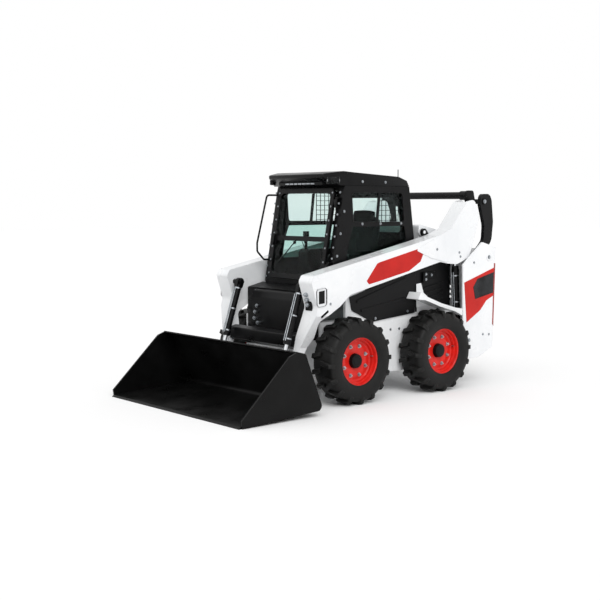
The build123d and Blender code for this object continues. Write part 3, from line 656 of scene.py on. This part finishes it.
# Rods as two places on the door, radius and sides; a place is (x, share of the height, depth)
WIPER_RODS = (
    # Blade, motor cover and spindle
    ((-60, 0.40, 31), (-250, 0.17, 31), 5.0, 12),
    ((-40, 0.44, 24), (-75, 0.385, 24), 8.0, 12),
    ((-60, 0.40, 18), (-60, 0.40, 36), 12.0, 16),
    # The two thin arms side by side
    ((30, 0.43, 22), (240, 0.13, 22), 3.5, 12),
    ((60, 0.43, 22), (270, 0.13, 22), 3.5, 12),
)
DOOR_BOLT_X = 376.0
DOOR_BOLT_DEPTH = 28.0
DOOR_BOLT_ROWS = 7
DOOR_BOLT_START = 0.05
DOOR_BOLT_STEP = 0.15


def on_door(x, share, depth):
    """Point on the door: distance to the left, share of its height, depth ahead of its rear face."""
    low_back, low_up = DOOR_LOW
    back = low_back + DOOR_RUN * share - depth * cos(DOOR_LEAN)
    up = low_up + DOOR_RISE * share + depth * sin(DOOR_LEAN)
    return spot(x, back, up)


def door_trim():
    """Wiper with its motor cover, and the bolts round the door's frame."""
    mesh = bmesh.new()
    for start, end, radius, sides in WIPER_RODS:
        bar(mesh, on_door(*start), on_door(*end), radius, sides)
    new_piece("wiper", mesh, "moulded_abs", "door")
    mesh = bmesh.new()
    for row in range(DOOR_BOLT_ROWS):
        share = DOOR_BOLT_START + DOOR_BOLT_STEP * row
        for side in SIDES:
            hex_bolt(mesh, on_door(side * DOOR_BOLT_X, share, DOOR_BOLT_DEPTH), DOOR_AXIS, *DOOR_BOLT)
    new_piece("door_bolts", mesh, "zinc_steel", "door")


# Seat

SEAT_LEAN = -0.18
# Name: centre, size in metres and lean
# They are shaped in metres, since rounding decides which of their middle corners the channels move
PADS = {
    "seat_cushion": (spot(0, 575, 1232), (0.44, 0.36, 0.11), 0.0),
    "seat_back": (spot(0, 772, 1460), (0.42, 0.10, 0.40), SEAT_LEAN),
    "seat_head_pad": (spot(0, 800, 1655), (0.27, 0.07, 0.10), SEAT_LEAN),
}
PAD_CUTS = 7
PAD_ANGLE = 80.0
# How far the faces draw in towards the edges, as shares of the size
DRAW_X = -0.08
DRAW = -0.16
CHANNEL_SHARE = 0.27
CHANNEL_HALF = 0.012
CHANNEL_DEPTH = 0.006
PAN = (spot(0, 600, 1168), (400, 340, 22))
BACK_SHELL = (spot(0, 812, 1420), (300, 20, 340))
PAN_EDGE = 4.0


def swell(local, size):
    """A pad's point moved so that its faces crown, with two stitched channels in the facing side."""
    across, along, high = (1 - (2 * place / whole) ** 4 for place, whole in zip(local, size))
    moved = local + Vector((local.x * DRAW_X * (1 - along * high), local.y * DRAW * (1 - across * high),
                            local.z * DRAW * (1 - across * along)))
    if abs(abs(local.x) - size[0] * CHANNEL_SHARE) < CHANNEL_HALF:
        lies_flat = size[1] > size[2]
        if lies_flat and local.z > 0:
            moved.z -= CHANNEL_DEPTH
        elif not lies_flat and local.y < 0:
            moved.y += CHANNEL_DEPTH
    return moved


def seat():
    """Sprung seat: cushion, back and head pad, each a padded piece, on a moulded pan."""
    for name, (place, size, lean) in PADS.items():
        mesh = bmesh.new()
        centre = Vector([value / METRE for value in place])
        turn = Matrix.Rotation(lean, 4, "X")
        block(mesh, centre, size, turn)
        bmesh.ops.subdivide_edges(mesh, edges=mesh.edges[:], cuts=PAD_CUTS, use_grid_fill=True)
        turn = turn.to_3x3()
        for vert in mesh.verts:
            vert.co = centre + turn @ swell(turn.inverted() @ (vert.co - centre), size)
        bmesh.ops.smooth_vert(mesh, verts=mesh.verts, factor=0.4, use_axis_x=True, use_axis_y=True,
                              use_axis_z=True)
        piece = new_piece(name, mesh, "seat_cloth", "cab", PAD_ANGLE, unit=1.0)
        rounder = piece.modifiers.new("rounding", "SUBSURF")
        rounder.levels = 1
        rounder.render_levels = 1
        if name == "seat_cushion":
            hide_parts("seat")
    mesh = bmesh.new()
    block(mesh, *PAN, bevel=PAN_EDGE)
    block(mesh, *BACK_SHELL, Matrix.Rotation(SEAT_LEAN, 4, "X"), PAN_EDGE)
    new_piece("seat_pan", mesh, "moulded_abs", "cab")


# Fittings on the arms and the frame

KNEE_FRAME = [(-402, 1035), (-318, 1045), (-300, 1030), (-300, 905), (-318, 890), (-392, 880),
              (-410, 900), (-415, 1020)]
KNEE_SUNK = 0.5
KNEE_SLOT_HEIGHT = 1.2
KNEE_RECESS_HEIGHT = 2.5
KNEE_FRAME_HEIGHT = 12.0
KNEE_FRAME_WIDTH = 18.0
# Outlines of the recess inside the frame and of the slot, each filled by a thin black sheet of painted
# shade
KNEE_RECESS = [(-385, 1015), (-320, 1022), (-320, 912), (-385, 905)]
KNEE_SLOT = [(-363, 797), (-280, 850), (-270, 832), (-350, 782)]
KNEE_PLATE_MIDDLE = (588, -400, 940)
KNEE_PLATE_SIZE = (85, 30, 190)
KNEE_COUPLERS = [(588, -418, 985), (588, -406, 940), (588, -394, 895)]
# A coupler along Y: where its body and its nose start and end, and their radii
BODY_REAR = Vector((0, 30, 0))
BODY_FRONT = Vector((0, -35, 0))
NOSE_FRONT = Vector((0, -52, 0))
BODY_RADIUS = 19.0
NOSE_RADIUS = 15.0
NOSE_TIP_RADIUS = 11.0
FRONT_COUPLERS = [(-330, -246, 760), (-300, -246, 820), (-340, -246, 700), (-290, -246, 660)]
FRONT_COUPLER_RUN = Vector((0, -45, 0))
FRONT_COUPLER_RADIUS = 16.0

SHROUD_TOP = [(-232, 985), (-60, 1024), (-60, 1014), (-226, 975)]
SHROUD_HALF = 505.0
SHROUD_SIDE = [(-236, 980), (-229, 980), (-229, 560), (-236, 560)]
SHROUD_SIDE_INNER = 382.0
SHROUD_SIDE_OUTER = 508.0
STEP_X = 445.0
STEP_BACK = -238.0
STEP_HEIGHTS = (640, 760, 880)
STEP_SIZE = (90, 12, 30)
# Black panels beside the engine bay: outline, inner and outer face
BAY_PANELS = (
    ([(955, 745), (955, 1170), (1440, 1230), (1440, 745)], TUB_FACE + 0.4, TUB_FACE + 3),
    ([(990, 998), (990, 1200), (1445, 1290), (1445, 998)], HOOD_FACE + 0.4, HOOD_FACE + 3),
)
PIPE_X = 556.0
PIPE_BACKS = (970, 1330)
PIPE_RISE = 60.0
PIPE_RADIUS = 8.0
PIPE_HEIGHTS = (800, 850, 900, 950)
VALVE_BLOCKS = ((spot(560, 1075, 1070), (24, 70, 100)), (spot(558, 1150, 1090), (20, 140, 60)))
# White gussets that join the rear fender's lip to the tub
GUSSETS = (
    ([(968, 1010), (1029, 1016), (1065, 924), (1171, 846), (1330, 790), (1186, 738), (978, 732)],
     548.5, 552.0),
    ([(948, 1012), (1009, 1018), (1045, 926), (1120, 866), (1120, 800), (952, 790)], 565.0, 569.0),
)
COVER_BOLT_HEIGHTS = (700, 640)
COVER_BOLT_XS = (-150, 0, 150)
COVER_BACK = -226.0
COVER_FOOT = 560.0
COVER_SLOPE = 0.129
COVER_AXIS = (0, -1, 0.1)
VALVE_BOLTS = [(572, 1075, 1100), (572, 1075, 1050), (572, 1150, 1090)]

# Barrel: foot and eye in the side view, length, distance from the middle and radius
BARRELS = {
    "tilt_barrels": ((-380, 1040), (-610, 330), 520.0, 446.0, 30.0),
    "lift_barrels": ((1490, 500), (1440, 1280), 640.0, 606.0, 34.0),
}
LINE_SHIFTS = (-12, 12)
LINE_RADIUS = 4.5
LINE_CLEAR = 7.0
LINE_START = 70.0
LINE_SHORT = 30.0
CLAMP_SHARES = (0.12, 0.5, 0.9)
CLAMP_HALF = 6.0
CLAMP_CLEAR = 2.5
GLAND_LENGTH = 45.0
GLAND_CLEAR = 4.0

SCREEN_WIRES = 22
SCREEN_START = -315
SCREEN_PITCH = 30
SCREEN_PLACE = (1850, 1002)
WIRE_SIZE = (5, 3, 400)
LATCH_MIDDLE = (480, 1884, 900)
LATCH_SIZE = (50, 20, 140)
TUBE_PLACE = (1745, 1850)
SLEEVE_START = 410.0
SLEEVE_END = 497.5
SLEEVE_RADIUS = 46.0


def front_fittings():
    """Couplers, plate, frame and slot at the knee, and the couplers on the front cover; the slot and the
    recess inside the frame are flat black sheets of painted shade.
    """
    mesh = bmesh.new()
    for place in KNEE_COUPLERS:
        centre = spot(*place)
        bar(mesh, centre + BODY_REAR, centre + BODY_FRONT, BODY_RADIUS, 24)
        bar(mesh, centre + BODY_FRONT, centre + NOSE_FRONT, NOSE_RADIUS, 24, NOSE_TIP_RADIUS)
    new_piece("knee_couplers", mesh, "zinc_steel", "lift_arms")
    mesh = bmesh.new()
    # Thin black sheets in the slot and the recess: painted shade in place of their depth
    plate(mesh, KNEE_SLOT, ARM_FACE - KNEE_SUNK, ARM_FACE + KNEE_SLOT_HEIGHT)
    plate(mesh, KNEE_RECESS, ARM_FACE - KNEE_SUNK, ARM_FACE + KNEE_RECESS_HEIGHT)
    mirrored(mesh)
    block(mesh, spot(*KNEE_PLATE_MIDDLE), KNEE_PLATE_SIZE, bevel=6.0)
    new_piece("knee_plate_and_shade_sheets", mesh, "black_powder_coat", "lift_arms")
    mesh = bmesh.new()
    border(mesh, KNEE_FRAME, ARM_FACE - KNEE_SUNK, ARM_FACE + KNEE_FRAME_HEIGHT, KNEE_FRAME_WIDTH)
    mirrored(mesh)
    new_piece("knee_frame", mesh, "white_enamel", "lift_arms")
    mesh = bmesh.new()
    for place in FRONT_COUPLERS:
        foot = spot(*place)
        bar(mesh, foot, foot + FRONT_COUPLER_RUN, FRONT_COUPLER_RADIUS)
        hex_bolt(mesh, foot + FRONT_COUPLER_RUN, FRONT_COUPLER_RUN, *COUPLER_NUT)
    new_piece("front_couplers", mesh, "zinc_steel", "frame")


def shrouds():
    """Black closing panels in front under the cab and beside the engine bay, gussets and bolts."""
    mesh = bmesh.new()
    plate(mesh, SHROUD_TOP, -SHROUD_HALF, SHROUD_HALF, 1.0)
    for side in SIDES:
        plate(mesh, SHROUD_SIDE, side * SHROUD_SIDE_INNER, side * SHROUD_SIDE_OUTER, 1.0)
        for up in STEP_HEIGHTS:
            block(mesh, spot(side * STEP_X, STEP_BACK, up), STEP_SIZE, bevel=3.0)
    new_piece("front_shroud", mesh, "moulded_abs", "frame")
    mesh = bmesh.new()
    for outline, low_x, high_x in BAY_PANELS:
        plate(mesh, outline, low_x, high_x, 0.5)
    low_back, high_back = PIPE_BACKS
    for up in PIPE_HEIGHTS:
        bar(mesh, spot(PIPE_X, low_back, up), spot(PIPE_X, high_back, up + PIPE_RISE), PIPE_RADIUS, 14)
    for centre, size in VALVE_BLOCKS:
        block(mesh, centre, size, bevel=6.0)
    mirrored(mesh)
    new_piece("engine_side_shroud", mesh, "moulded_abs", "frame")
    mesh = bmesh.new()
    for outline, low_x, high_x in GUSSETS:
        plate(mesh, outline, low_x, high_x)
    mirrored(mesh)
    new_piece("fender_gussets", mesh, "white_enamel", "frame")
    mesh = bmesh.new()
    for up in COVER_BOLT_HEIGHTS:
        back = COVER_BACK - (up - COVER_FOOT) * COVER_SLOPE
        for x in COVER_BOLT_XS:
            hex_bolt(mesh, spot(x, back, up), COVER_AXIS, *COVER_BOLT)
    for place in VALVE_BOLTS:
        hex_bolt(mesh, spot(*place), OUTWARD, *VALVE_BOLT)
    new_piece("shroud_bolts", mesh, "zinc_steel", "frame")


def cylinder_lines():
    """Steel pipes with their clamps, and gland rings, on the tilt and lift cylinders."""
    for body, (start, end, length, x, radius) in BARRELS.items():
        foot = spot(x, *start)
        way = (spot(x, *end) - foot).normalized()
        side = Vector((0, way.z, -way.y))
        if side.y > 0:
            side = -side
        mesh = bmesh.new()
        for shift in LINE_SHIFTS:
            lane = foot + side * (radius + LINE_CLEAR) + Vector((shift, 0, 0))
            bar(mesh, lane + way * LINE_START, lane + way * (length - LINE_SHORT), LINE_RADIUS, 12)
        for share in CLAMP_SHARES:
            centre = foot + way * length * share
            bar(mesh, centre - way * CLAMP_HALF, centre + way * CLAMP_HALF, radius + CLAMP_CLEAR, 32)
        mirrored(mesh)
        new_piece(f"{body}_lines", mesh, "zinc_steel", body)
        mesh = bmesh.new()
        gland = foot + way * length
        bar(mesh, gland - way * GLAND_LENGTH, gland, radius + GLAND_CLEAR, 40)
        mirrored(mesh)
        new_piece(f"{body}_glands", mesh, "black_powder_coat", body)


def rear_detail():
    """Screen behind the tailgate's slots, and its latch."""
    mesh = bmesh.new()
    for count in range(SCREEN_WIRES):
        block(mesh, spot(SCREEN_START + SCREEN_PITCH * count, *SCREEN_PLACE), WIRE_SIZE)
    new_piece("tail_screen", mesh, "black_powder_coat", "tailgate")
    mesh = bmesh.new()
    block(mesh, spot(*LATCH_MIDDLE), LATCH_SIZE, bevel=4.0)
    new_piece("tailgate_latch", mesh, "moulded_abs", "tailgate")


def tube_sleeves():
    """Thicker ends of the torque tube beside the arm pivots."""
    mesh = bmesh.new()
    bar(mesh, spot(SLEEVE_START, *TUBE_PLACE), spot(SLEEVE_END, *TUBE_PLACE), SLEEVE_RADIUS, 32)
    mirrored(mesh)
    new_piece("tube_sleeves", mesh, "black_powder_coat", "lift_arms")


# Stage, in metres

FLOOR_HALF = 60.0
FLOOR_COLOUR = "#FEFEFE"
WORLD_SOFT = 0.6
WORLD_SEEN = 1.0
# Name: strength, direction to the sun and its spread in degrees
SUNS = {"key": (1.55, (1.3, -0.6, 1.2), 40), "front_fill": (0.6, (0.1, -1, 0.9), 70)}
CAMERA_PLACE = (7.724, -6.75, 1.76)
CAMERA_TURN = (85.0, 0.0, 49.87)
CAMERA_LENS = 65.4
CAMERA_SENSOR = 36.0
CAMERA_REACH = 200.0


def floor():
    """Matt white floor."""
    mesh = bmesh.new()
    bmesh.ops.create_grid(mesh, x_segments=1, y_segments=1, size=FLOOR_HALF)
    data = bpy.data.meshes.new("studio_floor")
    mesh.to_mesh(data)
    mesh.free()
    obj = bpy.data.objects.new("studio_floor", data)
    bpy.context.scene.collection.objects.link(obj)
    paper = bpy.data.materials.new("white_paper")
    paper.use_nodes = True
    surface = paper.node_tree.nodes["Principled BSDF"]
    surface.inputs["Base Color"].default_value = linear(FLOOR_COLOUR)
    surface.inputs["Roughness"].default_value = 0.9
    surface.inputs["Specular IOR Level"].default_value = 0.0
    data.materials.append(paper)


def sky():
    """White surroundings, brighter where they are seen, mirrored or looked at through glass."""
    world = bpy.data.worlds.new("studio")
    bpy.context.scene.world = world
    world.use_nodes = True
    tree = world.node_tree
    tree.nodes.clear()
    path = node(tree, "ShaderNodeLightPath")
    shown = path.outputs["Is Camera Ray"]
    for ray in ("Is Transmission Ray", "Is Glossy Ray"):
        either = node(tree, "ShaderNodeMath", {"operation": "MAXIMUM"})
        tree.links.new(shown, either.inputs[0])
        tree.links.new(path.outputs[ray], either.inputs[1])
        shown = either.outputs[0]
    mixed = node(tree, "ShaderNodeMixShader")
    tree.links.new(shown, mixed.inputs[0])
    for place, strength in enumerate((WORLD_SOFT, WORLD_SEEN), 1):
        light = node(tree, "ShaderNodeBackground", {"Color": (1, 1, 1, 1), "Strength": strength})
        tree.links.new(light.outputs[0], mixed.inputs[place])
    node(tree, "ShaderNodeOutputWorld", links=[("Surface", mixed, "Shader")])


def stage():
    """Floor, surroundings, two soft suns and the camera at the photograph's angle."""
    scene = bpy.context.scene
    floor()
    sky()
    for name, (strength, way, spread) in SUNS.items():
        lamp = bpy.data.lights.new(name, "SUN")
        lamp.energy = strength
        lamp.angle = radians(spread)
        obj = bpy.data.objects.new(name, lamp)
        obj.rotation_euler = Vector(way).to_track_quat("Z", "Y").to_euler()
        scene.collection.objects.link(obj)
    lens = bpy.data.cameras.new("camera")
    lens.lens = CAMERA_LENS
    lens.sensor_width = CAMERA_SENSOR
    lens.clip_end = CAMERA_REACH
    camera = bpy.data.objects.new("camera", lens)
    camera.location = CAMERA_PLACE
    camera.rotation_euler = [radians(turn) for turn in CAMERA_TURN]
    scene.collection.objects.link(camera)
    scene.camera = camera
    scene.view_settings.view_transform = "Standard"


# Operators, panel and run

class LOADER_OT_stage(bpy.types.Operator):
    """Makes the floor, the light and the camera"""
    bl_idname = "loader.stage"
    bl_label = "Stage"

    def execute(self, context):
        stage()
        return {"FINISHED"}


class LOADER_OT_materials(bpy.types.Operator):
    """Makes the finishes and dresses the CAD pieces"""
    bl_idname = "loader.materials"
    bl_label = "Finishes"

    def execute(self, context):
        make_materials(context.scene.loader_look)
        dress_nodes()
        return {"FINISHED"}


class LOADER_OT_wheels(bpy.types.Operator):
    """Makes the tyres, rims, hub caps and wheel nuts"""
    bl_idname = "loader.wheels"
    bl_label = "Wheels"

    def execute(self, context):
        wheels(context.scene.loader_look)
        return {"FINISHED"}


class LOADER_OT_stripes(bpy.types.Operator):
    """Makes the blank stripes on the arms and the tail"""
    bl_idname = "loader.stripes"
    bl_label = "Stripes"

    def execute(self, context):
        stripes()
        return {"FINISHED"}


class LOADER_OT_bolts(bpy.types.Operator):
    """Makes the panel bolts and pin caps"""
    bl_idname = "loader.bolts"
    bl_label = "Bolts and pin caps"

    def execute(self, context):
        bolts(context.scene.loader_look)
        pin_caps()
        return {"FINISHED"}


class LOADER_OT_cab(bpy.types.Operator):
    """Makes the trim of the cab and its door, and the seat"""
    bl_idname = "loader.cab"
    bl_label = "Cab trim and seat"

    def execute(self, context):
        cab_trim()
        door_trim()
        seat()
        return {"FINISHED"}


class LOADER_OT_fittings(bpy.types.Operator):
    """Makes the fittings of the arms, the front, the engine bay and the tailgate"""
    bl_idname = "loader.fittings"
    bl_label = "Fittings"

    def execute(self, context):
        front_fittings()
        shrouds()
        cylinder_lines()
        rear_detail()
        tube_sleeves()
        return {"FINISHED"}


# In the order in which main calls them
OPERATORS = (LOADER_OT_stage, LOADER_OT_materials, LOADER_OT_wheels, LOADER_OT_stripes, LOADER_OT_bolts,
             LOADER_OT_cab, LOADER_OT_fittings)


class LOADER_PT_panel(bpy.types.Panel):
    """Lists the sizes and colours, and the groups of pieces"""
    bl_idname = "LOADER_PT_panel"
    bl_label = "Loader"
    bl_space_type = "VIEW_3D"
    bl_region_type = "UI"
    bl_category = "Loader"

    def draw(self, context):
        look = context.scene.loader_look
        for name in LoaderLook.__annotations__:
            self.layout.prop(look, name)
        for made in OPERATORS:
            self.layout.operator(made.bl_idname)


def register():
    """Adds the properties, the operators and the panel."""
    bpy.utils.register_class(LoaderLook)
    bpy.types.Scene.loader_look = bpy.props.PointerProperty(type=LoaderLook)
    for made in OPERATORS:
        bpy.utils.register_class(made)
    bpy.utils.register_class(LOADER_PT_panel)


def unregister():
    """Takes away what register added."""
    bpy.utils.unregister_class(LOADER_PT_panel)
    for made in reversed(OPERATORS):
        bpy.utils.unregister_class(made)
    del bpy.types.Scene.loader_look
    bpy.utils.unregister_class(LoaderLook)


def main():
    """Makes every group of pieces in order."""
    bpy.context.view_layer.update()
    register()
    for made in OPERATORS:
        group, name = made.bl_idname.split(".")
        getattr(getattr(bpy.ops, group), name)()


if __name__ == "__main__":
    main()
